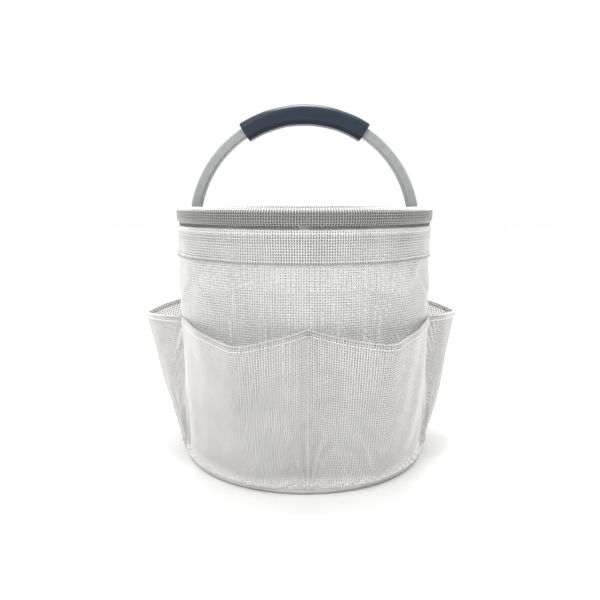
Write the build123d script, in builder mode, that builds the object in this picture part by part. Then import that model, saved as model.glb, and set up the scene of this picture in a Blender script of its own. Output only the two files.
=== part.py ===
"""Round mesh shower caddy with a hinged carrying bail.

Millimetres, +Z up, +X to the right, front at -Y. The origin is the middle of the base, on the
plane that the caddy stands on. Body "basket" is the sewn mesh basket with its rim hoop; body
"bail" is the handle, which swings about the X axis on two rivets at the height of the rim.
"""

import os
from math import cos, exp, pi, radians, sin, sqrt

from build123d import *

# ---- driving dimensions -------------------------------------------------------------------------
# basket wall: radius of the outside, from the base up
base_radius = 117.5
wall_swell = 5.7
wall_swell_height = 30.0
waist_depth = 1.4
waist_height = 200.0
waist_spread = 22.0
wall_thickness = 1.0
wall_top = 231.4

# rim hoop: flat-oval aluminium tube inside a mesh sleeve
rim_radius = 120.3
rim_height = 239.3
rim_tube_width = 7.0
rim_tube_depth = 13.0
rim_tube_wall = 1.0
rim_gap = 0.6
sleeve_thickness = 1.0
sleeve_ease = 0.05

# bail: rounded rectangular tube bent to one arc, centred below the pivot
bail_radius = 109.0
bail_centre_height = 225.5
bail_width = 9.6
bail_depth = 15.0
bail_wall = 1.2
bail_corner = 2.0
bail_end_angle = 2.5
grip_half_angle = 32.5
grip_width = 18.6
grip_depth = 24.0
grip_corner = 6.5
grip_end_round = 1.4

# pivots
pivot_height = rim_height
rivet_diameter = 5.0
running_clearance = 0.04
bush_diameter = 8.0
spacer_diameter = 9.0
rivet_head_diameter = 11.0

# pockets: five equal panels round the wall, each sewn along its sides and its lower edge
pocket_count = 5
pocket_turn = 1.0
seam_top = 147.0
pocket_foot = 1.0
pocket_thickness = 0.8
pocket_ease = 0.25
mouth_slope = 0.208
hem_height = 6.0
hem_thickness = 0.8

# base
base_thickness = 1.0
binding_height = 5.0
binding_thickness = 1.2

# name, how far the fold stands out from the wall at the mouth, where it sits across the pocket,
# and how far the cloth bows out before and after the fold
pockets = [
    ("front_right_pocket", 32.0, 0.38, 4.5, 4.5),
    ("right_pocket", 52.0, 0.46, 8.0, 13.0),
    ("back_pocket", 38.0, 0.52, 7.0, 7.0),
    ("left_pocket", 58.0, 0.54, 14.0, 8.0),
    ("front_left_pocket", 34.0, 0.68, 4.5, 4.5),
]

# a pocket puffs out just above its foot, then widens evenly up to its mouth
foot_puff = 0.4
foot_puff_rise = 0.06

os.makedirs("parts", exist_ok=True)


# ---- shared geometry ----------------------------------------------------------------------------
def finish(part, name):
    """Labels a finished piece and writes its STEP file."""
    part.label = name
    export_step(part, f"parts/{name}.step")


def wall_radius(height):
    """Outside radius of the basket wall: it swells above the base and is drawn in under the hem."""
    swell = wall_swell * (1 - exp(-height / wall_swell_height))
    waist = waist_depth * exp(-(((height - waist_height) / waist_spread) ** 2))
    return base_radius + swell - waist


def radial_plane(azimuth):
    """Upright plane through the axis: its x runs outward at this azimuth, its y runs up."""
    a = radians(azimuth)
    return Plane(origin=(0, 0, 0), x_dir=(cos(a), sin(a), 0), z_dir=(sin(a), -cos(a), 0))


def bail_plane(angle):
    """Plane across the bail's arc: its x runs outward along the radius, its y runs to the back."""
    a = radians(angle)
    origin = (bail_radius * cos(a), 0, bail_centre_height + bail_radius * sin(a))
    return Plane(origin=origin, x_dir=(cos(a), 0, sin(a)), z_dir=(-sin(a), 0, cos(a)))


bail_axis = Axis((0, 0, bail_centre_height), (0, -1, 0))


def band_profile(heights, inner_offset, outer_offset):
    """Closed profile of a layer that follows the wall between two offsets from its outside."""
    outer = [(wall_radius(h) + outer_offset, h) for h in heights]
    inner = [(wall_radius(h) + inner_offset, h) for h in heights]
    Spline(*outer)
    Line(outer[-1], inner[-1])
    Spline(*inner)
    Line(inner[0], outer[0])


# ---- rim ----------------------------------------------------------------------------------------
rim_start = 90 + rim_gap / rim_radius * 180 / pi / 2
rim_arc = 360 - rim_gap / rim_radius * 180 / pi
joiner_half_angle = 13.0
joiner_rivet_angle = 7.0
joiner_rivet_diameter = 3.2
joiner_ease = 0.1
inner_width = rim_tube_width - 2 * rim_tube_wall
inner_depth = rim_tube_depth - 2 * rim_tube_wall
rim_outside = rim_radius + rim_tube_width / 2
rim_inside = rim_radius - rim_tube_width / 2

with BuildPart() as rim_tube:
    with BuildSketch(radial_plane(rim_start)):
        with Locations((rim_radius, rim_height)):
            SlotOverall(rim_tube_depth, rim_tube_width, rotation=90)
            SlotOverall(inner_depth, inner_width, rotation=90, mode=Mode.SUBTRACT)
    revolve(axis=Axis.Z, revolution_arc=rim_arc)
    with BuildSketch(Plane.YZ.offset(-rim_outside - 1)):
        with Locations((0, pivot_height)):
            Circle(rivet_diameter / 2)
    extrude(amount=2 * rim_outside + 2, mode=Mode.SUBTRACT)
    for turn in (-joiner_rivet_angle, joiner_rivet_angle):
        with BuildSketch(Plane.XZ.rotated((0, 0, turn))):
            with Locations((0, rim_height)):
                Circle(joiner_rivet_diameter / 2)
        extrude(amount=-rim_outside - 1, mode=Mode.SUBTRACT)
finish(rim_tube.part, "rim_tube")

with BuildPart() as rim_joiner:
    with BuildSketch(radial_plane(90 - joiner_half_angle)):
        with Locations((rim_radius, rim_height)):
            SlotOverall(inner_depth - joiner_ease, inner_width - joiner_ease, rotation=90)
    revolve(axis=Axis.Z, revolution_arc=2 * joiner_half_angle)
    for turn in (-joiner_rivet_angle, joiner_rivet_angle):
        with BuildSketch(Plane.XZ.rotated((0, 0, turn))):
            with Locations((0, rim_height)):
                Circle(joiner_rivet_diameter / 2)
        extrude(amount=-rim_outside - 1, mode=Mode.SUBTRACT)
finish(rim_joiner.part, "rim_joiner")

joiner_head_diameter = 5.6
joiner_head_height = 0.55
joiner_head_gap = 0.05
with BuildPart() as rim_joiner_rivets:
    for turn in (-joiner_rivet_angle, joiner_rivet_angle):
        shank_start = rim_inside - joiner_head_height - joiner_head_gap
        shank_length = rim_tube_width + 2 * (joiner_head_height + joiner_head_gap)
        rivet_plane = Plane.XZ.rotated((0, 0, turn))
        with BuildSketch(rivet_plane.offset(-shank_start)):
            with Locations((0, rim_height)):
                Circle(joiner_rivet_diameter / 2)
        extrude(amount=-shank_length)
        for head_start in (shank_start, rim_outside + joiner_head_gap):
            with BuildSketch(rivet_plane.offset(-head_start)):
                with Locations((0, rim_height)):
                    Circle(joiner_head_diameter / 2)
            extrude(amount=-joiner_head_height)
finish(rim_joiner_rivets.part, "rim_joiner_rivets")

# The sleeve is clear of every rivet head, and the pivot spacers pass through its inner side.
sleeve_width = rim_tube_width + 2 * sleeve_thickness
sleeve_depth = rim_tube_depth + 2 * sleeve_thickness
head_recess_depth = 0.75
head_recess_ease = 0.4
with BuildPart() as rim_sleeve:
    with BuildSketch(radial_plane(0)):
        with Locations((rim_radius, rim_height)):
            SlotOverall(sleeve_depth, sleeve_width, rotation=90)
            SlotOverall(
                rim_tube_depth + 2 * sleeve_ease,
                rim_tube_width + 2 * sleeve_ease,
                rotation=90,
                mode=Mode.SUBTRACT,
            )
    revolve(axis=Axis.Z)
    recess_length = 2 * (rim_outside + head_recess_depth)
    with BuildSketch(Plane.YZ.offset(-recess_length / 2)):
        with Locations((0, pivot_height)):
            Circle(rivet_head_diameter / 2 + head_recess_ease)
    extrude(amount=recess_length, mode=Mode.SUBTRACT)
    for turn in (-joiner_rivet_angle, joiner_rivet_angle):
        with BuildSketch(Plane.XZ.rotated((0, 0, turn)).offset(-rim_inside + head_recess_depth)):
            with Locations((0, rim_height)):
                Circle(joiner_head_diameter / 2 + head_recess_ease)
        extrude(amount=-(rim_tube_width + 2 * head_recess_depth), mode=Mode.SUBTRACT)
finish(rim_sleeve.part, "rim_sleeve")


# ---- pivots -------------------------------------------------------------------------------------
pivot_x = sqrt(bail_radius**2 - (pivot_height - bail_centre_height) ** 2)
bush_inner_x = pivot_x - bail_width / 2 + 0.2
bush_outer_x = pivot_x + bail_width / 2 + 0.6
spacer_inner_x = bush_outer_x + 0.3
spacer_outer_x = rim_inside - 0.15
bail_inside = bail_radius - bail_width / 2
head_reach = pivot_height - bail_centre_height + rivet_head_diameter / 2
inner_head_x = sqrt(bail_inside**2 - head_reach**2) - 0.35
inner_head_height = 1.8
outer_head_height = 0.7
head_round = 1.2


def pivot_rivet(side):
    """Rivet along X through the rim and the bail, with a domed head inside and a flat one outside."""
    with BuildPart() as rivet:
        with BuildSketch(Plane.YZ.offset(side * inner_head_x)):
            with Locations((0, pivot_height)):
                Circle(rivet_diameter / 2)
        extrude(amount=side * (rim_outside - inner_head_x))
        with BuildSketch(Plane.YZ.offset(side * rim_outside)):
            with Locations((0, pivot_height)):
                Circle(rivet_head_diameter / 2)
        extrude(amount=side * outer_head_height)
        with BuildSketch(Plane.YZ.offset(side * inner_head_x)):
            with Locations((0, pivot_height)):
                Circle(rivet_head_diameter / 2)
        extrude(amount=-side * inner_head_height)
        inner_rims = rivet.edges().filter_by(GeomType.CIRCLE).sort_by(Axis.X)
        fillet(inner_rims[0] if side > 0 else inner_rims[-1], radius=head_round)
    return rivet.part


def pivot_ring(side, start_x, end_x, diameter):
    """Plain ring round the rivet, between two distances from the basket's axis."""
    with BuildPart() as ring:
        with BuildSketch(Plane.YZ.offset(side * start_x)):
            with Locations((0, pivot_height)):
                Circle(diameter / 2)
                Circle(rivet_diameter / 2 + running_clearance, mode=Mode.SUBTRACT)
        extrude(amount=side * (end_x - start_x))
    return ring.part


for side_name, side in (("left", -1), ("right", 1)):
    finish(pivot_rivet(side), f"{side_name}_pivot_rivet")
    finish(pivot_ring(side, spacer_inner_x, spacer_outer_x, spacer_diameter), f"{side_name}_pivot_spacer")
    finish(pivot_ring(side, bush_inner_x, bush_outer_x, bush_diameter), f"{side_name}_pivot_bush")


# ---- bail ---------------------------------------------------------------------------------------
bail_arc = 180 - 2 * bail_end_angle
with BuildPart() as bail_tube:
    with BuildSketch(bail_plane(bail_end_angle)):
        RectangleRounded(bail_width, bail_depth, bail_corner)
        RectangleRounded(
            bail_width - 2 * bail_wall,
            bail_depth - 2 * bail_wall,
            bail_corner - bail_wall,
            mode=Mode.SUBTRACT,
        )
    revolve(axis=bail_axis, revolution_arc=bail_arc)
    with BuildSketch(Plane.YZ.offset(-rim_outside)):
        with Locations((0, pivot_height)):
            Circle(bush_diameter / 2)
    extrude(amount=2 * rim_outside, mode=Mode.SUBTRACT)
finish(bail_tube.part, "bail_tube")

cap_thickness_angle = 0.8
cap_plug_angle = 1.8
cap_plug_ease = 0.1


def bail_end_cap(start_angle, plug_angle):
    """Moulded cap that closes one end of the bail: a flange over the cut end, and a plug inside."""
    with BuildPart() as cap:
        with BuildSketch(bail_plane(start_angle)):
            RectangleRounded(bail_width, bail_depth, bail_corner)
        revolve(axis=bail_axis, revolution_arc=cap_thickness_angle)
        with BuildSketch(bail_plane(plug_angle)):
            RectangleRounded(
                bail_width - 2 * bail_wall - cap_plug_ease,
                bail_depth - 2 * bail_wall - cap_plug_ease,
                bail_corner - bail_wall,
            )
        revolve(axis=bail_axis, revolution_arc=cap_plug_angle)
    return cap.part


finish(bail_end_cap(bail_end_angle - cap_thickness_angle, bail_end_angle), "right_bail_end_cap")
finish(
    bail_end_cap(180 - bail_end_angle, 180 - bail_end_angle - cap_plug_angle),
    "left_bail_end_cap",
)

with BuildPart() as foam_grip:
    with BuildSketch(bail_plane(90 - grip_half_angle)):
        RectangleRounded(grip_width, grip_depth, grip_corner)
    revolve(axis=bail_axis, revolution_arc=2 * grip_half_angle)
    grip_ends = foam_grip.faces().filter_by(lambda f: abs(f.normal_at().X) > 0.5).sort_by(Axis.X)
    fillet((grip_ends[0] + grip_ends[-1]).edges(), radius=grip_end_round)
    with BuildSketch(bail_plane(90 - grip_half_angle - 1)):
        RectangleRounded(bail_width, bail_depth, bail_corner)
    revolve(axis=bail_axis, revolution_arc=2 * grip_half_angle + 2, mode=Mode.SUBTRACT)
finish(foam_grip.part, "foam_grip")


# ---- basket wall --------------------------------------------------------------------------------
wall_heights = [0, 8, 20, 40, 75, 110, 147, 175, 200, 216, wall_top]
with BuildPart() as wall_panel:
    with BuildSketch(radial_plane(0)):
        with BuildLine():
            band_profile(wall_heights, -wall_thickness, 0)
        make_face()
    revolve(axis=Axis.Z)
finish(wall_panel.part, "wall_panel")

hem_band_heights = [waist_height, 210, 221, wall_top]
with BuildPart() as top_hem_band:
    with BuildSketch(radial_plane(0)):
        with BuildLine():
            band_profile(hem_band_heights, 0.1, 1.0)
        make_face()
    revolve(axis=Axis.Z)
finish(top_hem_band.part, "top_hem_band")

tape_heights = [8, 40, 75, 110, 147, 175, 200, 216, 228]
tape_half_angle = 3.0
with BuildPart() as wall_seam_tape:
    with BuildSketch(radial_plane(90 - tape_half_angle)):
        with BuildLine():
            band_profile(tape_heights, -wall_thickness - 0.7, -wall_thickness - 0.1)
        make_face()
    revolve(axis=Axis.Z, revolution_arc=2 * tape_half_angle)
finish(wall_seam_tape.part, "wall_seam_tape")


# ---- base ---------------------------------------------------------------------------------------
with BuildPart() as base_panel:
    with BuildSketch():
        Circle(base_radius - wall_thickness - 0.1)
    extrude(amount=base_thickness)
finish(base_panel.part, "base_panel")

binding_heights = [0, binding_height / 2, binding_height]
binding_gap = pocket_ease + pocket_thickness + 0.2
with BuildPart() as base_binding:
    with BuildSketch(radial_plane(0)):
        with BuildLine():
            band_profile(binding_heights, binding_gap, binding_gap + binding_thickness)
        make_face()
    revolve(axis=Axis.Z)
finish(base_binding.part, "base_binding")


# ---- pockets ------------------------------------------------------------------------------------
pocket_span = 360 / pocket_count
section_heights = [pocket_foot, binding_height + 0.6, 9, 14, 21, 34, 52, 74, 98, 122, seam_top, seam_top + 4]
along_side = [0, 0.15, 0.35, 0.55, 0.75, 0.92]


def pocket_azimuth(index, share):
    """Azimuth at a share of the way across a pocket, from its seam nearer the front."""
    return -90 + pocket_turn + pocket_span * (index + share)


def pocket_radius(height, share, stand_out, fold_at, bow_before, bow_after):
    """Radius of a pocket's inner face: sewn to the wall at its sides and foot, fullest at its fold.

    At the mouth each side runs from its seam to the fold as a chord, bowed out a little. Further
    down the same shape shrinks towards the wall.
    """
    rise = min(1, max(0, (height - section_heights[1]) / (seam_top - section_heights[1])))
    puff = foot_puff * (1 - exp(-rise / foot_puff_rise)) / (1 - exp(-1 / foot_puff_rise))
    fullness = puff + (1 - foot_puff) * rise
    bow = bow_before if share < fold_at else bow_after
    side_share = fold_at if share < fold_at else 1 - fold_at
    along = (share if share < fold_at else 1 - share) / side_share
    spread = radians(pocket_span * side_share)
    seam = wall_radius(seam_top)
    fold = seam + stand_out
    chord = seam * fold * sin(spread) / (seam * sin(spread * along) + fold * sin(spread * (1 - along)))
    stand = chord - seam + bow * sin(pi * along)
    return wall_radius(height) + pocket_ease + fullness * stand


def pocket_shell(index, inner, outer):
    """Thin shell between two offsets from a pocket's inner face, lofted up through its sections."""
    _, *shape = pockets[index]
    fold_at = shape[1]
    near_side = [fold_at * t for t in along_side]
    far_side = [1 - (1 - fold_at) * t for t in reversed(along_side)]
    across = near_side + [fold_at] + far_side
    with BuildPart() as shell:
        for height in section_heights:
            edges = {}
            for offset in (inner, outer):
                points = []
                for share in across:
                    radius = pocket_radius(height, share, *shape) + offset
                    a = radians(pocket_azimuth(index, share))
                    points.append((radius * cos(a), radius * sin(a)))
                edges[offset] = points
            with BuildSketch(Plane.XY.offset(height)):
                with BuildLine():
                    Spline(*edges[outer])
                    Line(edges[outer][-1], edges[inner][-1])
                    Spline(*edges[inner])
                    Line(edges[inner][0], edges[outer][0])
                make_face()
        loft(ruled=True)
    return shell.part


def mouth_plane(index, drop):
    """Plane of a pocket's mouth: level with the tops of its seams, falling outward from them."""
    a = radians(pocket_azimuth(index, 0.5))
    reach = wall_radius(seam_top) * cos(radians(pocket_span / 2))
    origin = (reach * cos(a), reach * sin(a), seam_top - drop)
    normal = (mouth_slope * cos(a), mouth_slope * sin(a), 1)
    return Plane(origin=origin, z_dir=normal)


for index, (pocket_name, *_) in enumerate(pockets):
    with BuildPart() as pocket_panel:
        add(pocket_shell(index, 0, pocket_thickness))
        split(bisect_by=mouth_plane(index, 0), keep=Keep.BOTTOM)
    finish(pocket_panel.part, pocket_name)

    with BuildPart() as pocket_hem:
        add(pocket_shell(index, pocket_thickness + 0.05, pocket_thickness + hem_thickness))
        split(bisect_by=mouth_plane(index, 0), keep=Keep.BOTTOM)
        split(bisect_by=mouth_plane(index, hem_height), keep=Keep.TOP)
    finish(pocket_hem.part, f"{pocket_name}_hem")
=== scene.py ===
"""Looks of the round mesh shower caddy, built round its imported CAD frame.

Metres, in the frame's own axes: +Z up, +X to the right, front at -Y. Every sewn panel is a real
open net, with a strand for each yarn; threads, tapes and the foam grip are meshes of their own.
"""

from math import cos, pi, radians, sin

import bpy
import numpy as np
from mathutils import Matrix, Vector


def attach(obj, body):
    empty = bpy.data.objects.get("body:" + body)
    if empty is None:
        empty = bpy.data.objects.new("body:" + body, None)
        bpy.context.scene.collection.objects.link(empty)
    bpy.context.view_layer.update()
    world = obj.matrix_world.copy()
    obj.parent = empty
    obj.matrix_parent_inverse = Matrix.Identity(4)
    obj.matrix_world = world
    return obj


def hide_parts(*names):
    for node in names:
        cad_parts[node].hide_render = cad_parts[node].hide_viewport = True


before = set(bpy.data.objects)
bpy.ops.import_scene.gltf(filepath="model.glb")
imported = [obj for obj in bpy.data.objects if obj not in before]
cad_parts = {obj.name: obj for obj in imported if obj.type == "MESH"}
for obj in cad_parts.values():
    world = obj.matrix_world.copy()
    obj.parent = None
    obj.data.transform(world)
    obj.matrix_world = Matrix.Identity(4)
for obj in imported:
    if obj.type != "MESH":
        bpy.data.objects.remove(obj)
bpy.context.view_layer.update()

MM = 0.001

# ---- dimensions shared with the CAD -------------------------------------------------------------
BASE_RADIUS = 117.5 * MM
WALL_SWELL = 5.7 * MM
WALL_SWELL_HEIGHT = 30 * MM
WAIST_DEPTH = 1.4 * MM
WAIST_HEIGHT = 200 * MM
WAIST_SPREAD = 22 * MM
RIM_RADIUS = 120.3 * MM
RIM_HEIGHT = 239.3 * MM
BAIL_RADIUS = 109 * MM
BAIL_CENTRE = 225.5 * MM
GRIP_HALF_ANGLE = radians(32.5)
SEAM_TOP = 147 * MM
POCKET_FOOT = 1.2 * MM
POCKET_START = 5.6 * MM
POCKET_SPAN = radians(72)
POCKET_TURN = radians(-89)
FOOT_PUFF = 0.4
FOOT_PUFF_RISE = 0.06
MOUTH_SLOPE = 0.208
MOUTH_REACH = 99.7 * MM

# ---- the net ------------------------------------------------------------------------------------
PITCH = 2.22 * MM
# half a strand's width, across the columns and across the rows
STRAND_HALVES = (0.5 * MM, 0.43 * MM)
SLEEVE_HALVES = (0.46 * MM, 0.38 * MM)
WALL_HALVES = (0.66 * MM, 0.54 * MM)
HEM_HALVES = (0.7 * MM, 0.56 * MM)
POCKET_HALVES = (0.58 * MM, 0.48 * MM)
# height over the cloth's middle at a crossing's corners, sides and centre
LIFT = np.array([[-0.22, 0.0, -0.22], [0.36, 0.4, 0.36], [-0.22, 0.0, -0.22]]) * MM


# ---- meshes -------------------------------------------------------------------------------------
def build(name, points, faces, material):
    """Object from points and arrays of face corners, without the points that no face uses."""
    points = np.asarray(points, dtype=float).reshape(-1, 3)
    faces = [np.asarray(f).reshape(len(f), -1) for f in faces if len(f)]
    used = np.unique(np.concatenate([f.ravel() for f in faces]))
    place = np.zeros(len(points), dtype=np.int32)
    place[used] = np.arange(len(used))
    corners = np.concatenate([place[f].ravel() for f in faces]).astype(np.int32)
    sizes = np.concatenate([np.full(len(f), f.shape[1]) for f in faces])
    starts = np.concatenate([[0], np.cumsum(sizes)[:-1]]).astype(np.int32)
    mesh = bpy.data.meshes.new(name)
    mesh.vertices.add(len(used))
    mesh.vertices.foreach_set("co", points[used].ravel().astype(np.float32))
    mesh.loops.add(len(corners))
    mesh.loops.foreach_set("vertex_index", corners)
    mesh.polygons.add(len(sizes))
    mesh.polygons.foreach_set("loop_start", starts)
    mesh.polygons.foreach_set("use_smooth", np.ones(len(sizes), dtype=bool))
    mesh.update(calc_edges=True)
    mesh.materials.append(material)
    piece = bpy.data.objects.new(name, mesh)
    bpy.context.scene.collection.objects.link(piece)
    return piece


def skin(rows, columns, around=True, along=False):
    """Quads over a grid of points, rows by columns, joined round its columns and along its rows."""
    index = np.arange(rows * columns).reshape(rows, columns)
    if along:
        index = np.concatenate([index, index[:1]])
    if around:
        index = np.concatenate([index, index[:, :1]], axis=1)
    corners = [index[:-1, :-1], index[:-1, 1:], index[1:, 1:], index[1:, :-1]]
    return np.stack(corners, axis=-1).reshape(-1, 4)


def normals(at, u, v):
    """Unit normals of a surface at(u, v), outward where u runs anticlockwise and v runs up."""
    step = 0.2 * MM
    across = at(u + step, v) - at(u - step, v)
    up = at(u, v + step) - at(u, v - step)
    normal = np.cross(across, up)
    return normal / np.linalg.norm(normal, axis=-1, keepdims=True)


def net(name, at, columns, rows, material, keep=None, closed=False, reach=False, halves=STRAND_HALVES):
    """Open net on the surface at(u, v): a knot at each crossing, and ridged strands between knots.

    keep says which crossings there are. closed joins the last column to the first. reach leaves
    the last column's knots out, so that the strands run on to the next panel's first column.
    """
    spread = np.array([-1, 0, 1])
    u = (np.asarray(columns)[:, None] + halves[0] * spread)[:, :, None, None]
    v = (np.asarray(rows)[:, None] + halves[1] * spread)[None, None]
    u, v = np.broadcast_arrays(u, v)
    points = at(u, v) + normals(at, u, v) * LIFT[None, :, None, :, None]
    count = u.shape[0]
    index = np.arange(u.size).reshape(u.shape)
    knot = np.ones((count, u.shape[2]), dtype=bool) if keep is None else keep
    if closed:
        index = np.concatenate([index, index[:1]])
        knot = np.concatenate([knot, knot[:1]])
    row_strand = knot[:-1] & knot[1:]
    column_strand = knot[:, :-1] & knot[:, 1:]
    own = knot.copy()
    if closed or reach:
        own[-1] = False
        column_strand[-1] = False
    none = np.zeros((1, knot.shape[1]), dtype=bool)
    strand_before = np.concatenate([none, row_strand])
    strand_after = np.concatenate([row_strand, none])
    if closed:
        strand_before[0] = row_strand[-1]
    none = np.zeros((knot.shape[0], 1), dtype=bool)
    strand_below = np.concatenate([none, column_strand], axis=1)
    strand_above = np.concatenate([column_strand, none], axis=1)
    faces = []

    def add(where, *corners):
        faces.append(np.stack([c[where] for c in corners], axis=-1))

    at_knot = lambda a, b: index[:, a, :, b]
    left = lambda a, b: index[:-1, a, :, b]
    right = lambda a, b: index[1:, a, :, b]
    below = lambda a, b: index[:, a, :-1, b]
    above = lambda a, b: index[:, a, 1:, b]
    for a in (0, 1):
        for b in (0, 1):
            add(own, at_knot(a, b), at_knot(a + 1, b), at_knot(a + 1, b + 1), at_knot(a, b + 1))
        add(column_strand, below(a, 2), below(a + 1, 2), above(a + 1, 0), above(a, 0))
        add(row_strand, left(2, a), right(0, a), right(0, a + 1), left(2, a + 1))
    add(own, at_knot(0, 0), at_knot(0, 2), at_knot(2, 2), at_knot(2, 0))
    add(column_strand, below(0, 2), above(0, 0), above(2, 0), below(2, 2))
    add(row_strand, left(2, 0), left(2, 2), right(0, 2), right(0, 0))
    add(own & ~strand_before, at_knot(0, 0), at_knot(0, 1), at_knot(0, 2))
    add(own & ~strand_after, at_knot(2, 2), at_knot(2, 1), at_knot(2, 0))
    add(own & ~strand_below, at_knot(2, 0), at_knot(1, 0), at_knot(0, 0))
    add(own & ~strand_above, at_knot(0, 2), at_knot(1, 2), at_knot(2, 2))
    if reach:
        last = np.zeros_like(knot)
        last[-1] = row_strand[-1]
        add(last, at_knot(0, 2), at_knot(0, 1), at_knot(0, 0))
    quads = [f for f in faces if f.shape[1] == 4]
    triangles = [f for f in faces if f.shape[1] == 3]
    return build(name, points, [np.concatenate(quads), np.concatenate(triangles)], material)


def stitches(name, at, start, end, material, pitch=3.0 * MM, radius=0.3 * MM, v=0.0, rise=0.5 * MM):
    """Row of sewn stitches on the surface at(u, v): each is one arched, tapered length of thread."""
    count = max(1, round((end - start) / pitch))
    pitch = (end - start) / count
    along = np.linspace(0, 1, 7)
    u = start + (np.arange(count)[:, None] + 0.12 + 0.76 * along[None]) * pitch
    wander = 0.12 * MM * np.sin(17.3 * np.arange(count))[:, None]
    v = v + wander + 0 * u
    normal = normals(at, u, v)
    arch = np.sin(pi * along)[None, :, None]
    middle = at(u, v) + normal * (-0.25 * MM + (rise + 0.25 * MM) * arch**0.6)
    forward = at(u + 0.2 * MM, v) - at(u - 0.2 * MM, v)
    forward /= np.linalg.norm(forward, axis=-1, keepdims=True)
    sideways = np.cross(normal, forward)
    turn = np.linspace(0, 2 * pi, 7)[:-1]
    thick = radius * (0.5 + 0.5 * arch**0.5)
    ring = [middle + thick * (cos(t) * sideways + sin(t) * normal) for t in turn]
    points = np.stack(ring, axis=2)
    index = np.arange(count * 7 * 6).reshape(count, 7, 6)
    turned = np.roll(index, -1, axis=2)
    sides = [index[:, :-1], turned[:, :-1], turned[:, 1:], index[:, 1:]]
    caps = np.concatenate([index[:, 0, ::-1], index[:, -1]])
    return build(name, points, [np.stack(sides, axis=-1).reshape(-1, 4), caps], material)


# ---- materials ----------------------------------------------------------------------------------
def surface(
    name,
    light,
    dark,
    roughness,
    patch=0.02,
    grain=0.0006,
    bump=0.1,
    metallic=0.0,
    sheen=0.0,
    specular=0.5,
    painted_light_bands=(),
):
    """Principled material whose colour and roughness vary over patches, with a fine raised grain."""
    made = bpy.data.materials.new(name)
    made.use_nodes = True
    nodes, links = made.node_tree.nodes, made.node_tree.links
    shader = nodes["Principled BSDF"]
    where = nodes.new("ShaderNodeTexCoord")
    patches = nodes.new("ShaderNodeTexNoise")
    patches.inputs["Scale"].default_value = 1 / patch
    patches.inputs["Detail"].default_value = 4
    links.new(where.outputs["Object"], patches.inputs["Vector"])
    colour = nodes.new("ShaderNodeMix")
    colour.data_type = "RGBA"
    colour.inputs["A"].default_value = (*dark, 1)
    colour.inputs["B"].default_value = (*light, 1)
    spread = nodes.new("ShaderNodeMapRange")
    spread.inputs["From Min"].default_value = 0.3
    spread.inputs["From Max"].default_value = 0.7
    links.new(patches.outputs["Fac"], spread.inputs["Value"])
    links.new(spread.outputs["Result"], colour.inputs["Factor"])
    shown = colour.outputs["Result"]
    if painted_light_bands:
        # painted light and shade: the colour is multiplied by a tint that changes with height, (height,
        # tint) from low to high
        split = nodes.new("ShaderNodeSeparateXYZ")
        links.new(where.outputs["Object"], split.inputs["Vector"])
        level = nodes.new("ShaderNodeMapRange")
        level.inputs["From Min"].default_value = painted_light_bands[0][0]
        level.inputs["From Max"].default_value = painted_light_bands[-1][0]
        links.new(split.outputs["Z"], level.inputs["Value"])
        ramp = nodes.new("ShaderNodeValToRGB")
        stops = ramp.color_ramp.elements
        for number, (height, tint) in enumerate(painted_light_bands):
            share = (height - painted_light_bands[0][0]) / (painted_light_bands[-1][0] - painted_light_bands[0][0])
            if 0 < number < len(painted_light_bands) - 1:
                stops.new(share)
            stops[number].position = share
            stops[number].color = (tint, tint, tint, 1)
        links.new(level.outputs["Result"], ramp.inputs["Fac"])
        tinted = nodes.new("ShaderNodeMix")
        tinted.data_type = "RGBA"
        tinted.blend_type = "MULTIPLY"
        tinted.inputs["Factor"].default_value = 1
        links.new(shown, tinted.inputs["A"])
        links.new(ramp.outputs["Color"], tinted.inputs["B"])
        shown = tinted.outputs["Result"]
    links.new(shown, shader.inputs["Base Color"])
    rough = nodes.new("ShaderNodeMapRange")
    rough.inputs["To Min"].default_value = roughness[0]
    rough.inputs["To Max"].default_value = roughness[1]
    links.new(patches.outputs["Fac"], rough.inputs["Value"])
    links.new(rough.outputs["Result"], shader.inputs["Roughness"])
    fine = nodes.new("ShaderNodeTexNoise")
    fine.inputs["Scale"].default_value = 1 / grain
    fine.inputs["Detail"].default_value = 3
    links.new(where.outputs["Object"], fine.inputs["Vector"])
    raised = nodes.new("ShaderNodeBump")
    raised.inputs["Strength"].default_value = bump
    raised.inputs["Distance"].default_value = grain / 3
    links.new(fine.outputs["Fac"], raised.inputs["Height"])
    links.new(raised.outputs["Normal"], shader.inputs["Normal"])
    shader.inputs["Metallic"].default_value = metallic
    shader.inputs["Sheen Weight"].default_value = sheen
    shader.inputs["Specular IOR Level"].default_value = specular
    return made


mesh_white = surface(
    "mesh_white", (0.71, 0.71, 0.70), (0.64, 0.64, 0.63), (0.35, 0.5), grain=0.5 * MM, specular=0.2
)
# front and back pockets and every pocket hem: painted light, the tint lightens the foot, to match the
# photo's tone
mesh_warm_painted_light = surface(
    "mesh_warm_painted_light",
    (0.72, 0.711, 0.694),
    (0.652, 0.644, 0.627),
    (0.35, 0.5),
    grain=0.5 * MM,
    specular=0.12,
    painted_light_bands=[(0.0, 1.0), (5.0 * MM, 1.36), (12.0 * MM, 1.36), (20.0 * MM, 1.0), (160.0 * MM, 1.0)],
)
# side pockets: painted shade, a darker copy of the front pockets' cloth, chosen to match the photo
mesh_side_painted_shade = surface(
    "mesh_side_painted_shade", (0.62, 0.612, 0.597), (0.56, 0.553, 0.54), (0.4, 0.55), grain=0.5 * MM, specular=0.1
)
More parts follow.
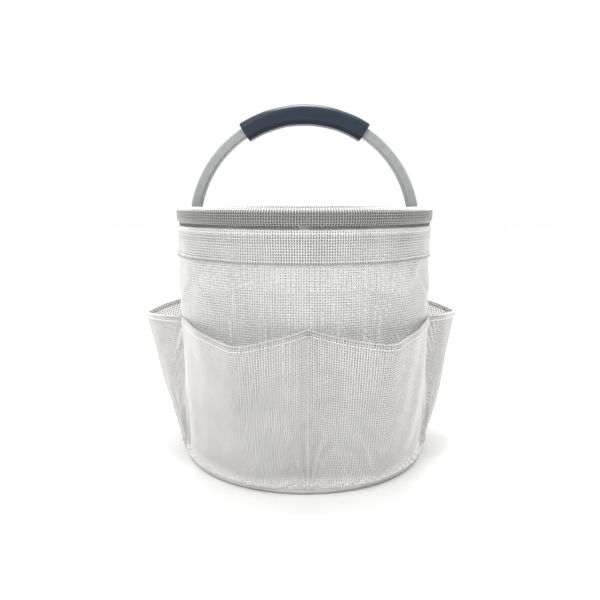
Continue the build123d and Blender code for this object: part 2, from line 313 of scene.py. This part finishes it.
# rim sleeve: painted by height where the photo shows the grey tube and the groove below it: a painted
# shadow in the groove, the outer face darker partly for the grey tube behind it and partly as painted
# shade, and a painted highlight on the top fold
mesh_rim_painted_shade = surface(
    "mesh_rim_painted_shade",
    (0.92, 0.92, 0.91),
    (0.86, 0.86, 0.85),
    (0.35, 0.5),
    grain=0.5 * MM,
    specular=0.3,
    painted_light_bands=[
        (228.6 * MM, 0.2),
        (230.6 * MM, 0.2),
        (231.6 * MM, 0.3),
        (232.6 * MM, 0.46),
        (243.4 * MM, 0.42),
        (244.6 * MM, 1.0),
        (247.0 * MM, 1.0),
    ],
)
# top hem: painted shade at its folded lower edge and its upper line, and painted light above, as the
# photo is
mesh_hem_painted_shade = surface(
    "mesh_hem_painted_shade",
    (0.66, 0.66, 0.65),
    (0.59, 0.59, 0.58),
    (0.35, 0.5),
    grain=0.5 * MM,
    specular=0.2,
    painted_light_bands=[
        (199.0 * MM, 0.5),
        (201.0 * MM, 0.62),
        (201.8 * MM, 1.0),
        (218.0 * MM, 1.0),
        (219.0 * MM, 0.86),
        (220.5 * MM, 1.0),
        (224.0 * MM, 0.95),
        (226.0 * MM, 1.25),
        (229.0 * MM, 1.25),
    ],
)
thread_white = surface("thread_white", (0.88, 0.88, 0.87), (0.8, 0.8, 0.79), (0.5, 0.65), grain=0.3 * MM)
# binding tape, painted shade darkening it towards the floor
tape_grey_painted_shade = surface(
    "tape_grey_painted_shade",
    (0.68, 0.675, 0.665),
    (0.58, 0.575, 0.565),
    (0.7, 0.85),
    grain=0.5 * MM,
    bump=0.5,
    sheen=0.2,
    painted_light_bands=[(0.0, 0.35), (1.2 * MM, 0.45), (3.0 * MM, 0.85), (5.0 * MM, 1.0)],
)
tape_white = surface(
    "tape_white", (0.8, 0.8, 0.79), (0.72, 0.72, 0.71), (0.65, 0.8), grain=0.5 * MM, bump=0.5, sheen=0.2
)
foam_slate = surface(
    "foam_slate",
    (0.019, 0.032, 0.053),
    (0.014, 0.025, 0.042),
    (0.3, 0.42),
    patch=12 * MM,
    grain=0.45 * MM,
    bump=0.25,
    specular=0.3,
)
bail_grey = surface(
    "bail_grey",
    (0.37, 0.385, 0.375),
    (0.32, 0.333, 0.325),
    (0.32, 0.45),
    patch=8 * MM,
    grain=0.25 * MM,
    bump=0.08,
)
rim_grey = surface(
    "rim_grey",
    (0.2, 0.21, 0.2),
    (0.16, 0.17, 0.165),
    (0.4, 0.52),
    patch=8 * MM,
    grain=0.25 * MM,
    bump=0.08,
)
rivet_steel = surface(
    "rivet_steel",
    (0.66, 0.66, 0.65),
    (0.52, 0.52, 0.51),
    (0.25, 0.4),
    patch=3 * MM,
    grain=0.2 * MM,
    metallic=1.0,
)
nylon_white = surface(
    "nylon_white", (0.78, 0.77, 0.73), (0.7, 0.69, 0.65), (0.4, 0.55), patch=4 * MM, grain=0.2 * MM
)
cap_grey = surface(
    "cap_grey", (0.14, 0.15, 0.155), (0.1, 0.11, 0.115), (0.45, 0.6), patch=4 * MM, grain=0.3 * MM
)

for node, material in {
    "rim_tube": rim_grey,
    "rim_joiner": rim_grey,
    "rim_joiner_rivets": rivet_steel,
    "left_pivot_rivet": rivet_steel,
    "right_pivot_rivet": rivet_steel,
    "left_pivot_spacer": nylon_white,
    "right_pivot_spacer": nylon_white,
    "left_pivot_bush": nylon_white,
    "right_pivot_bush": nylon_white,
    "bail_tube": bail_grey,
    "left_bail_end_cap": cap_grey,
    "right_bail_end_cap": cap_grey,
}.items():
    for place in bpy.data.objects[node].material_slots:
        place.material = material


# ---- the basket's shape -------------------------------------------------------------------------
def smooth(low, high, x):
    """Smooth step from 0 at low to 1 at high."""
    t = np.clip((x - low) / (high - low), 0, 1)
    return t * t * (3 - 2 * t)


def wall_radius(z):
    """Outside radius of the basket wall, as in the CAD."""
    swell = WALL_SWELL * (1 - np.exp(-z / WALL_SWELL_HEIGHT))
    waist = WAIST_DEPTH * np.exp(-(((z - WAIST_HEIGHT) / WAIST_SPREAD) ** 2))
    return BASE_RADIUS + swell - waist


# soft creases in the wall above the pockets: azimuth, height, lean, half length, half width, depth
CREASES = [
    (-150, 180, 40, 26, 5, 1.5),
    (-131, 168, -35, 30, 4, -1.2),
    (-112, 186, 20, 34, 5, 1.0),
    (-96, 165, -60, 24, 4, -0.9),
    (-74, 182, 35, 30, 5, 1.1),
    (-55, 166, -25, 34, 4, -1.3),
    (-38, 186, 50, 24, 5, 1.5),
    (-22, 170, -40, 22, 4, -1.4),
    (-5, 184, 30, 26, 5, 1.6),
    (20, 172, -30, 32, 5, 1.2),
    (48, 184, 45, 28, 4, -1.2),
    (76, 168, -20, 36, 5, 1.1),
    (104, 186, 30, 30, 4, -1.0),
    (133, 170, -45, 26, 5, 1.3),
    (158, 184, 35, 28, 5, 1.4),
    (178, 166, -30, 24, 4, -1.4),
]


SWAY_SIZE = 1.25


def sway(theta, z):
    """How far the loose cloth stands off the true round, the same for every layer at one place."""
    free = smooth(8 * MM, 45 * MM, z) * (1 - smooth(198 * MM, 224 * MM, z))
    waves = (
        0.6 * np.sin(3 * theta + 0.7 + z / (60 * MM))
        + 0.5 * np.sin(7 * theta + 2.1 - z / (38 * MM))
        + 0.35 * np.sin(12 * theta + 4.4 + z / (24 * MM))
        + 0.2 * np.sin(21 * theta + 1.3 - z / (15 * MM))
    )
    for azimuth, height, lean, half_length, half_width, depth in CREASES:
        turn = np.mod(theta - radians(azimuth) + pi, 2 * pi) - pi
        x, y = turn * BASE_RADIUS / MM, z / MM - height
        lean = radians(lean)
        along = x * cos(lean) + y * sin(lean)
        across = y * cos(lean) - x * sin(lean)
        waves = waves + depth * np.exp(-((along / half_length) ** 2) - (across / half_width) ** 2)
    return free * waves * MM * SWAY_SIZE


def on_wall(offset):
    """Surface at an offset from the wall's outside, for a cloth whose u runs round it."""

    def at(u, v):
        theta = u / BASE_RADIUS
        radius = wall_radius(v) + sway(theta, v) + offset
        return np.stack([radius * np.cos(theta), radius * np.sin(theta), v + 0 * u], axis=-1)

    return at


basket_pieces = []


def sewn(piece, slot, *nodes):
    """A piece of the sewn basket: it rides with the basket and stands for these CAD nodes."""
    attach(piece, "basket")
    if nodes:
        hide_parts(*nodes)
    basket_pieces.append(piece)
    return piece


# wall, in gores
GORES = 6
GORE_COLUMNS = 58
WALL_FOOT = 1.5 * MM
WALL_TOP = 229 * MM
WALL_MIDDLE = -0.5 * MM
wall_columns = np.arange(GORES * GORE_COLUMNS + 1) * 2 * pi * BASE_RADIUS / (GORES * GORE_COLUMNS)
wall_rows = np.arange(WALL_FOOT, WALL_TOP, PITCH)
wall_surface = on_wall(WALL_MIDDLE)
for gore in range(GORES):
    columns = wall_columns[gore * GORE_COLUMNS : (gore + 1) * GORE_COLUMNS + 1]
    piece = net(
        f"wall_mesh_{gore + 1}",
        wall_surface,
        columns,
        wall_rows,
        mesh_white,
        reach=True,
        halves=WALL_HALVES,
    )
    sewn(piece, "mesh", "wall_panel")


# rim sleeve: the cloth goes up inside the rim tube, over it and down outside
def path_of(corners, spacing=0.25 * MM, passes=12):
    """Dense points along a smoothed polyline of (radius, height), with their distance along it."""
    corners = np.asarray(corners)
    lengths = np.concatenate([[0], np.cumsum(np.linalg.norm(np.diff(corners, axis=0), axis=1))])
    distance = np.arange(0, lengths[-1], spacing)
    points = np.stack([np.interp(distance, lengths, corners[:, k]) for k in (0, 1)], axis=-1)
    for _ in range(passes):
        points[1:-1] = (points[:-2] + 2 * points[1:-1] + points[2:]) / 4
    lengths = np.concatenate([[0], np.cumsum(np.linalg.norm(np.diff(points, axis=0), axis=1))])
    return lengths, points


def round_path(corners):
    """Surface swept round the basket along a path; its v is the distance along the path."""
    lengths, points = path_of(corners)

    def at(u, v):
        theta = u / BASE_RADIUS
        beyond = v - np.clip(v, 0, lengths[-1])
        radius = np.interp(v, lengths, points[:, 0])
        height = np.interp(v, lengths, points[:, 1])
        ends = np.where(beyond < 0, -1.0, 1.0)
        first, last = points[1] - points[0], points[-1] - points[-2]
        slope = np.where(ends[..., None] < 0, first / np.linalg.norm(first), last / np.linalg.norm(last))
        radius = radius + beyond * slope[..., 0]
        height = height + beyond * slope[..., 1]
        radius = radius + sway(theta, height)
        return np.stack([radius * np.cos(theta), radius * np.sin(theta), height], axis=-1)

    return at, lengths[-1]


SLEEVE_HALF_WIDTH = 4.45 * MM
SLEEVE_HALF_DEPTH = 7.45 * MM
SLEEVE_COLUMNS = 342
# the folded path round the tube, in degrees, from outside below it to inside below it
SLEEVE_ANGLES = range(-62, 231, 8)
SLEEVE_MARGIN = 0.5 * MM
PIVOT_HOLE = 5.6 * MM
arc_centre = SLEEVE_HALF_DEPTH - SLEEVE_HALF_WIDTH
sleeve_corners = [(wall_radius(WALL_TOP) - 0.3 * MM, 229.9 * MM)]
for angle in SLEEVE_ANGLES:
    a = radians(angle)
    rise = arc_centre if 0 < angle < 180 else -arc_centre
    sleeve_corners.append(
        (RIM_RADIUS + SLEEVE_HALF_WIDTH * cos(a), RIM_HEIGHT + rise + SLEEVE_HALF_WIDTH * sin(a))
    )
sleeve_corners.append((wall_radius(WALL_TOP) - 1.3 * MM, 229.6 * MM))
sleeve_surface, sleeve_length = round_path(sleeve_corners)
sleeve_columns = np.arange(SLEEVE_COLUMNS) * 2 * pi * BASE_RADIUS / SLEEVE_COLUMNS
sleeve_rows = np.linspace(SLEEVE_MARGIN, sleeve_length - SLEEVE_MARGIN, round(sleeve_length / PITCH))
grid_u, grid_v = np.meshgrid(sleeve_columns, sleeve_rows, indexing="ij")
sleeve_points = sleeve_surface(grid_u, grid_v)
from_pivot = np.hypot(sleeve_points[..., 1], sleeve_points[..., 2] - RIM_HEIGHT)
inside = np.hypot(sleeve_points[..., 0], sleeve_points[..., 1]) < RIM_RADIUS
sleeve_keep = ~(inside & (from_pivot < PIVOT_HOLE))
rim_mesh = sewn(
    net(
        "rim_sleeve_mesh",
        sleeve_surface,
        sleeve_columns,
        sleeve_rows,
        mesh_rim_painted_shade,
        keep=sleeve_keep,
        closed=True,
        halves=SLEEVE_HALVES,
    ),
    "mesh",
    "rim_sleeve",
)

# top hem: the cloth's outer layer down to its folded lower edge
band = 0.75 * MM
fold = 0.25 * MM
HEM_TOP = 0.2275
HEM_FOOT = 0.2
HEM_MARGIN = 0.3 * MM
RIM_STITCH_HEIGHT = 225.5 * MM
HEM_STITCH_HEIGHT = 203.4 * MM
hem_heights = np.linspace(226.6, 204.0, 10) * MM
hem_corners = [
    (wall_radius(HEM_TOP) - 0.1 * MM, 228.8 * MM),
    (wall_radius(HEM_TOP) + 0.5 * MM, 228.0 * MM),
]
hem_corners += [(wall_radius(z) + band, z) for z in hem_heights]
hem_corners += [
    (wall_radius(HEM_FOOT) + band + 0.7 * MM, 201.2 * MM),
    (wall_radius(HEM_FOOT) + band + 0.6 * MM, 199.8 * MM),
    (wall_radius(HEM_FOOT) + fold, 199.9 * MM),
]
hem_corners += [(wall_radius(z) + fold - 0.1 * MM, z) for z in (202 * MM, 206 * MM)]
hem_surface, hem_length = round_path(hem_corners)
hem_rows = np.linspace(HEM_MARGIN, hem_length - HEM_MARGIN, round(hem_length / PITCH))


def turned(at):
    """The same surface with v running the other way, so that its normals face outward."""
    return lambda u, v: at(u, -v)


top_hem = sewn(
    net(
        "top_hem_mesh",
        turned(hem_surface),
        (wall_columns[:-1] + wall_columns[1:]) / 2,
        -hem_rows[::-1],
        mesh_hem_painted_shade,
        closed=True,
        halves=HEM_HALVES,
    ),
    "mesh",
    "top_hem_band",
)
ring_length = 2 * pi * BASE_RADIUS
rim_stitches = sewn(
    stitches(
        "rim_stitches",
        lambda u, v: on_wall(1.2 * MM)(u, v + RIM_STITCH_HEIGHT),
        0,
        ring_length,
        thread_white,
    ),
    "mesh",
)
hem_stitches = sewn(
    stitches(
        "top_hem_stitches",
        lambda u, v: on_wall(1.3 * MM)(u, v + HEM_STITCH_HEIGHT),
        0,
        ring_length,
        thread_white,
    ),
    "mesh",
)

# base
BASE_LINES = 52
BASE_LEVEL = 0.55 * MM
base_lines = np.arange(-BASE_LINES, BASE_LINES + 1) * PITCH
grid_x, grid_y = np.meshgrid(base_lines, base_lines, indexing="ij")
base_mesh = sewn(
    net(
        "base_mesh",
        lambda u, v: np.stack([u, v, BASE_LEVEL + 0 * u], axis=-1),
        base_lines,
        base_lines,
        mesh_white,
        keep=np.hypot(grid_x, grid_y) < BASE_RADIUS - 1.0 * MM,
    ),
    "mesh",
    "base_panel",
)

# base binding: a tape folded round the raw edges of the base, the wall and the pockets
BINDING_COLUMNS = 900
BINDING_SIDES = 24
BINDING_LEVEL = 2.55 * MM
BINDING_HALF_HEIGHT = 2.45 * MM
BINDING_MIDDLE = 1.92 * MM
BINDING_HALF_THICKNESS = 0.6 * MM
BINDING_WRINKLE = 0.35 * MM
theta = np.arange(BINDING_COLUMNS) / BINDING_COLUMNS * 2 * pi
section = np.arange(BINDING_SIDES) / BINDING_SIDES * 2 * pi
ease = 0.14 * np.sin(57 * theta + 1.2) + 0.1 * np.sin(93 * theta + 0.4) + 0.08 * np.sin(31 * theta)
out = np.sign(np.cos(section)) * np.abs(np.cos(section)) ** 0.75
up = np.sign(np.sin(section)) * np.abs(np.sin(section)) ** 0.6
height = BINDING_LEVEL + (BINDING_HALF_HEIGHT + 0.12 * MM * ease[:, None]) * up[None]
radius = wall_radius(height) + BINDING_MIDDLE + BINDING_HALF_THICKNESS * out[None]
radius = radius + BINDING_WRINKLE * ease[:, None] * (out[None] > 0)
points = np.stack(
    [radius * np.cos(theta)[:, None], radius * np.sin(theta)[:, None], height], axis=-1
)
binding_faces = skin(BINDING_COLUMNS, BINDING_SIDES, along=True)[:, ::-1]
binding = sewn(
    build("base_binding_tape", points, [binding_faces], tape_grey_painted_shade),
    "binding",
    "base_binding",
)
binding_stitches = sewn(
    stitches(
        "base_binding_stitches",
        lambda u, v: on_wall(2.6 * MM)(u, v + 3.9 * MM),
        0,
        ring_length,
        tape_grey_painted_shade,
        radius=0.22 * MM,
        rise=0.3 * MM,
    ),
    "binding",
)

# seam tape inside the back of the wall
TAPE_ROWS, TAPE_COLUMNS = 120, 9
TAPE_HALF = radians(2.9)
TAPE_SIDES = 2 * TAPE_COLUMNS
height = np.linspace(8, 228, TAPE_ROWS) * MM
across = np.linspace(-1, 1, TAPE_COLUMNS)
pucker = 0.18 * MM * np.sin(height / (3.1 * MM))[:, None] * np.abs(across[None])
layers = []
for offset in (-1.05 * MM, -1.65 * MM):
    turn = pi / 2 + TAPE_HALF * across[None] + 0 * height[:, None]
    radius = wall_radius(height)[:, None] + sway(turn, height[:, None]) + offset - pucker
    layers.append(
        np.stack([radius * np.cos(turn), radius * np.sin(turn), height[:, None] + 0 * turn], axis=-1)
    )
points = np.concatenate([layers[0], layers[1][:, ::-1]], axis=1)
ends = [
    np.arange(TAPE_SIDES)[None, ::-1],
    np.arange(TAPE_SIDES)[None] + (TAPE_ROWS - 1) * TAPE_SIDES,
]
tape_faces = [skin(TAPE_ROWS, TAPE_SIDES)[:, ::-1], np.concatenate(ends)[:, ::-1]]
seam_tape = sewn(
    build("wall_seam_tape_cloth", points, tape_faces, tape_white),
    "binding",
    "wall_seam_tape",
)


# ---- pockets ------------------------------------------------------------------------------------
# name, how far the fold stands out, where it sits across, how far the cloth bows out before and
# after it, how far the mouth is crowned before and after it, how softly the cloth turns there
POCKETS = [
    ("front_right", 32.0 * MM, 0.38, 4.5 * MM, 4.5 * MM, 0, 0, 0.05),
    ("right", 52.0 * MM, 0.46, 8.0 * MM, 13.0 * MM, 0, 5 * MM, 0.003),
    ("back", 38.0 * MM, 0.52, 7.0 * MM, 7.0 * MM, 0, 0, 0.04),
    ("left", 58.0 * MM, 0.54, 14.0 * MM, 8.0 * MM, 6 * MM, 0, 0.003),
    ("front_left", 34.0 * MM, 0.68, 4.5 * MM, 4.5 * MM, 0, 0, 0.045),
]
# height of each pocket seam's top against the drawn one, from the front seam on
SEAM_RISES = np.array([0.0, -4.5, 2.5, 2.5, -4.5, 0.0]) * MM
POCKET_MIDDLE = 0.65 * MM
HEM_BEND = 0.95 * MM
GATHER = 0.5
GATHER_WIDTH = 0.2
GATHER_RISE = 0.62
HEM_FLAT = 5.6 * MM
SEAM_EDGE = 0.06
FOLD_STEPS = 4
FOLD_FALLOFF = 2.2
# heights of the cloth's small folds, in mm
PLEAT, WAVE, CRUSH, TUCK = 2.8, 0.75, 0.7, 1.2
THREAD_LIFT = 0.3 * MM


class Pocket:
    """One pocket's cloth: its surface by how far across and how far up the cloth a point is."""

    def __init__(
        self, index, stand_out, fold_at, bow_before, bow_after, crown_before, crown_after, softness
    ):
        self.start = POCKET_TURN + index * POCKET_SPAN
        self.stand_out = stand_out
        self.fold_at = fold_at
        self.bows = bow_before, bow_after
        self.crowns = crown_before, crown_after
        self.rises = SEAM_RISES[index], SEAM_RISES[index + 1]
        self.softness = softness
        self.phase = 1.7 * index
        share = np.linspace(0, 1, 801)
        mouth = self.place(share, self.mouth(share))
        step = np.linalg.norm(np.diff(mouth, axis=0), axis=1)
        self.shares = share
        self.lengths = np.concatenate([[0], np.cumsum(step)])
        self.width = self.lengths[-1]
        self.height = SEAM_TOP - POCKET_FOOT
        self.count = round(self.width / PITCH)
        self.pitch = self.width / self.count
        # a column runs up the fold itself
        self.first = np.interp(fold_at, share, self.lengths) / self.pitch % 1

    def sharp_stand(self, share, z):
        """How far the cloth stands out from the wall, with a sharp fold."""
        share = np.clip(share, 0, 1)
        rise = np.clip((z - POCKET_START) / (SEAM_TOP - POCKET_START), 0, 1)
        puff = FOOT_PUFF * (1 - np.exp(-rise / FOOT_PUFF_RISE))
        fullness = puff + (1 - FOOT_PUFF) * rise
        bow = np.where(share < self.fold_at, *self.bows)
        side = np.where(share < self.fold_at, self.fold_at, 1 - self.fold_at)
        along = np.where(share < self.fold_at, share, 1 - share) / side
        spread = POCKET_SPAN * side
        seam = wall_radius(SEAM_TOP)
        fold = seam + self.stand_out
        chord = np.sin(spread * along) * seam + np.sin(spread * (1 - along)) * fold
        chord = seam * fold * np.sin(spread) / chord
        return fullness * (chord - seam + bow * np.sin(pi * along))

    def stand(self, share, z):
        """How far the cloth stands out from the wall, with its fold softened."""
        total, weight = 0, 0
        for k in range(-FOLD_STEPS, FOLD_STEPS + 1):
            w = np.exp(-((k / FOLD_FALLOFF) ** 2))
            total = total + w * self.sharp_stand(share + k / FOLD_STEPS * self.softness * 2, z)
            weight += w
        edge = smooth(0, SEAM_EDGE, share) * smooth(0, SEAM_EDGE, 1 - share)
        return self.sharp_stand(share, z) * (1 - edge) + total / weight * edge

    def ripple(self, share, z):
        """Small outward folds: pleats that fan up from each seam's foot, a tuck and a crushed band
        along the foot, and soft waves above."""
        width = BASE_RADIUS * POCKET_SPAN
        foot = smooth(POCKET_START, 13 * MM, z) * (1 - smooth(40 * MM, 95 * MM, z))
        fan = np.minimum(share, 1 - share) * width / (z + 3 * MM)
        pleats = np.exp(-((fan / 0.3) ** 2)) * (0.5 + 0.5 * np.cos(2 * pi * fan / 0.22))
        tuck = smooth(3 * MM, 5.2 * MM, z) * (1 - smooth(7 * MM, 20 * MM, z))
        body = smooth(20 * MM, 60 * MM, z) * np.sin(pi * np.clip(share, 0, 1))
        waves = 1 + 0.6 * np.sin(9 * share + self.phase + z / (30 * MM))
        waves = waves + 0.4 * np.sin(23 * share + 2 * self.phase - z / (22 * MM))
        crush = np.exp(-(((z - 10 * MM) / (4.2 * MM)) ** 2))
        crushed = 2 + np.sin(113 * share + self.phase + 2 * np.sin(19 * share) + z / (0.9 * MM))
        crushed = crushed + np.sin(71 * share - z / (1.3 * MM) + 1.5 * np.sin(27 * share))
        return (PLEAT * foot * pleats + WAVE * body * waves + CRUSH * crush * crushed + TUCK * tuck) * MM

    def place(self, share, z):
        """Point of the cloth at a share of the way across and a height."""
        theta = self.start + POCKET_SPAN * share
        radius = wall_radius(z) + sway(theta, z) + POCKET_MIDDLE
        radius = radius + self.stand(share, z) + self.ripple(share, z)
        return np.stack([radius * np.cos(theta), radius * np.sin(theta), z + 0 * radius], axis=-1)

    def mouth(self, share):
        """Height of the mouth: lower where the cloth stands out, moved by its seam tops and crown."""
        turn = POCKET_SPAN * (share - 0.5)
        z = SEAM_TOP
        for _ in range(3):
            radius = wall_radius(z) + POCKET_MIDDLE + self.stand(share, z)
            z = SEAM_TOP - MOUTH_SLOPE * (radius * np.cos(turn) - MOUTH_REACH)
        before, after = share / self.fold_at, (1 - share) / (1 - self.fold_at)
        near = np.where(share < self.fold_at, (1 - before) ** 2, (1 - after) ** 2)
        rise = np.where(share < self.fold_at, self.rises[0], self.rises[1])
        along = np.clip(np.where(share < self.fold_at, before, after), 0, 1)
        crown = np.where(share < self.fold_at, *self.crowns) * np.sin(pi * along**1.6)
        return z + rise * near + crown

    def at(self, u, v):
        """Point of the cloth, u along its mouth from the first seam and v up from its foot."""
        level = np.clip(v / self.height, 0, 1.2)
        top = np.interp(u, self.lengths, self.shares)
        top = top + (u - np.clip(u, 0, self.width)) / self.width
        foot = u / self.width
        pull = foot * np.exp(-((foot / GATHER_WIDTH) ** 2))
        pull = pull - (1 - foot) * np.exp(-(((1 - foot) / GATHER_WIDTH) ** 2))
        foot = foot - GATHER * pull
        blend = 1 - (1 - np.clip(level / GATHER_RISE, 0, 1)) ** 1.6
        share = foot + (top - foot) * blend
        z = POCKET_FOOT + v / self.height * (self.mouth(top) - POCKET_FOOT)
        return self.place(share, z)

    def hem_at(self, u, v):
        """Point of the folded hem over the mouth: v runs from its outer edge, over, to its inner."""
        flat, bend = HEM_FLAT, HEM_BEND
        half = flat + bend * pi / 2
        arc = np.clip((v - flat) / bend, 0, pi)
        drop = np.where(v < half, flat - v, v - flat - bend * pi)
        drop = np.maximum(drop, 0) - bend * np.sin(arc)
        off = bend * np.cos(arc)
        level = self.height - drop
        point = self.at(u, level)
        return point + normals(self.at, u, level) * off[..., None]

    def seam_at(self, u, v):
        """Point on the cloth along its first seam: u runs up the seam and v across it."""
        theta = self.start - v / BASE_RADIUS
        radius = wall_radius(u) + sway(theta, u) + POCKET_MIDDLE + THREAD_LIFT + self.ripple(0 * u, u)
        return np.stack([radius * np.cos(theta), radius * np.sin(theta), u], axis=-1)

    hem_length = 2 * HEM_FLAT + HEM_BEND * pi


pocket_cloths = []
for index, (side, *shape) in enumerate(POCKETS):
    pocket = Pocket(index, *shape)
    columns = (np.arange(pocket.count) + pocket.first) * pocket.pitch
    rows = np.arange(0.8 * MM, pocket.height, PITCH)
    # side pockets take the cloth with painted shade, the others the one with painted light at the foot
    cloth_material = mesh_side_painted_shade if side in ("left", "right") else mesh_warm_painted_light
    cloth = sewn(
        net(f"{side}_pocket_mesh", pocket.at, columns, rows, cloth_material, halves=POCKET_HALVES),
        "mesh",
        f"{side}_pocket",
    )
    rows = np.linspace(0.5 * MM, pocket.hem_length - 0.5 * MM, 6)
    hem = sewn(
        net(f"{side}_pocket_hem_mesh", pocket.hem_at, columns, rows, mesh_warm_painted_light),
        "mesh",
        f"{side}_pocket_hem",
    )
    row = sewn(
        stitches(
            f"{side}_pocket_hem_stitches",
            lambda u, v: pocket.hem_at(u, v + 1.4 * MM),
            2 * MM,
            pocket.width - 2 * MM,
            thread_white,
            radius=0.4 * MM,
        ),
        "mesh",
    )
    seam = sewn(
        stitches(
            f"{side}_pocket_seam_stitches",
            pocket.seam_at,
            6 * MM,
            SEAM_TOP + pocket.rises[0],
            mesh_warm_painted_light,
            radius=0.26 * MM,
            rise=0.3 * MM,
        ),
        "mesh",
    )
    pocket_cloths.append((cloth, [hem, row, seam], pocket))


# ---- foam grip ----------------------------------------------------------------------------------
GRIP_ROWS, GRIP_SIDES, END_ROWS = 150, 56, 8
GRIP_HALF = (9.3 * MM, 12.0 * MM)
BORE_HALF = (4.9 * MM, 7.6 * MM)
END_ROUND = 1.4 * MM
GRIP_CORNER = 6.5 * MM
BORE_CORNER = 2.1 * MM
grip_length = 2 * GRIP_HALF_ANGLE * BAIL_RADIUS


def grip_ring(distance, half_out, half_side, corner):
    """Ring of points round the bail's line at a distance from the grip's first end."""
    angle = pi / 2 + GRIP_HALF_ANGLE - distance / BAIL_RADIUS
    quarter = np.linspace(0, pi / 2, GRIP_SIDES // 4)
    out, side = [], []
    for k, (sx, sy) in enumerate([(1, 1), (-1, 1), (-1, -1), (1, -1)]):
        a = quarter + k * pi / 2
        out.append(sx * (half_out - corner) + corner * np.cos(a))
        side.append(sy * (half_side - corner) + corner * np.sin(a))
    out, side = np.concatenate(out), np.concatenate(side)
    radius = BAIL_RADIUS + out
    return np.stack([radius * cos(angle), side, BAIL_CENTRE + radius * sin(angle)], axis=-1)


rings = []
for step in range(END_ROWS):
    a = pi / 2 * step / END_ROWS
    inset = END_ROUND * (1 - sin(a))
    rings.append(
        grip_ring(END_ROUND * (1 - cos(a)), GRIP_HALF[0] - inset, GRIP_HALF[1] - inset, GRIP_CORNER)
    )
for distance in np.linspace(END_ROUND, grip_length - END_ROUND, GRIP_ROWS):
    wave = 0.1 * MM * sin(distance / (9 * MM)) + 0.07 * MM * sin(distance / (4.3 * MM) + 1)
    ring = grip_ring(distance, GRIP_HALF[0] + wave, GRIP_HALF[1] + wave, GRIP_CORNER)
    rings.append(ring)
for step in reversed(range(END_ROWS)):
    a = pi / 2 * step / END_ROWS
    inset = END_ROUND * (1 - sin(a))
    distance = grip_length - END_ROUND * (1 - cos(a))
    rings.append(grip_ring(distance, GRIP_HALF[0] - inset, GRIP_HALF[1] - inset, GRIP_CORNER))
for distance in np.linspace(grip_length - 0.4 * MM, 0.4 * MM, GRIP_ROWS // 2):
    rings.append(grip_ring(distance, *BORE_HALF, BORE_CORNER))
grip = build("foam_grip_sleeve", np.array(rings), [skin(len(rings), GRIP_SIDES, along=True)], foam_slate)
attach(grip, "bail")
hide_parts("foam_grip")


# ---- an empty loop over the pocket cloths -------------------------------------------------------
for cloth, extras, pocket in pocket_cloths:
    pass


# ---- stage --------------------------------------------------------------------------------------
FLOOR_HALF = 6
FLOOR_WHITE = 0.99
LIT_POINT = (0, 0, 0.15)
CAMERA_LENS = 37.2
CAMERA_PLACE = (-0.0044, -0.625, 0.2535)
CAMERA_TILT = 9.21
floor_material = bpy.data.materials.new("floor_white")
floor_material.use_nodes = True
floor_shader = floor_material.node_tree.nodes["Principled BSDF"]
floor_shader.inputs["Base Color"].default_value = (FLOOR_WHITE, FLOOR_WHITE, FLOOR_WHITE, 1)
floor_shader.inputs["Roughness"].default_value = 0.9
floor_mesh = bpy.data.meshes.new("floor")
floor_corners = [(x * FLOOR_HALF, y * FLOOR_HALF, 0) for x, y in ((-1, -1), (1, -1), (1, 1), (-1, 1))]
floor_mesh.from_pydata(floor_corners, [], [(0, 1, 2, 3)])
floor_mesh.materials.append(floor_material)
floor = bpy.data.objects.new("floor", floor_mesh)
bpy.context.scene.collection.objects.link(floor)

world = bpy.data.worlds.new("studio")
world.use_nodes = True
world.node_tree.nodes["Background"].inputs["Color"].default_value = (1, 1, 1, 1)
world.node_tree.nodes["Background"].inputs["Strength"].default_value = 1.0
bpy.context.scene.world = world


def area_light(name, location, target, size, power):
    """Soft square light that faces the target."""
    lamp = bpy.data.lights.new(name, "AREA")
    lamp.size = size
    lamp.energy = power
    light = bpy.data.objects.new(name, lamp)
    light.location = location
    direction = Vector(target) - Vector(location)
    light.rotation_mode = "QUATERNION"
    light.rotation_quaternion = direction.to_track_quat("-Z", "Y")
    bpy.context.scene.collection.objects.link(light)


area_light("overhead", (0.0, 0.3, 1.45), LIT_POINT, 0.5, 21)
area_light("key", (-0.7, -1.2, 1.2), LIT_POINT, 0.6, 6)

camera_data = bpy.data.cameras.new("camera")
camera_data.lens = CAMERA_LENS
camera = bpy.data.objects.new("camera", camera_data)
camera.location = CAMERA_PLACE
camera.rotation_euler = (radians(90 - CAMERA_TILT), 0, 0)
bpy.context.scene.collection.objects.link(camera)
bpy.context.scene.camera = camera
bpy.context.scene.view_settings.view_transform = "Standard"
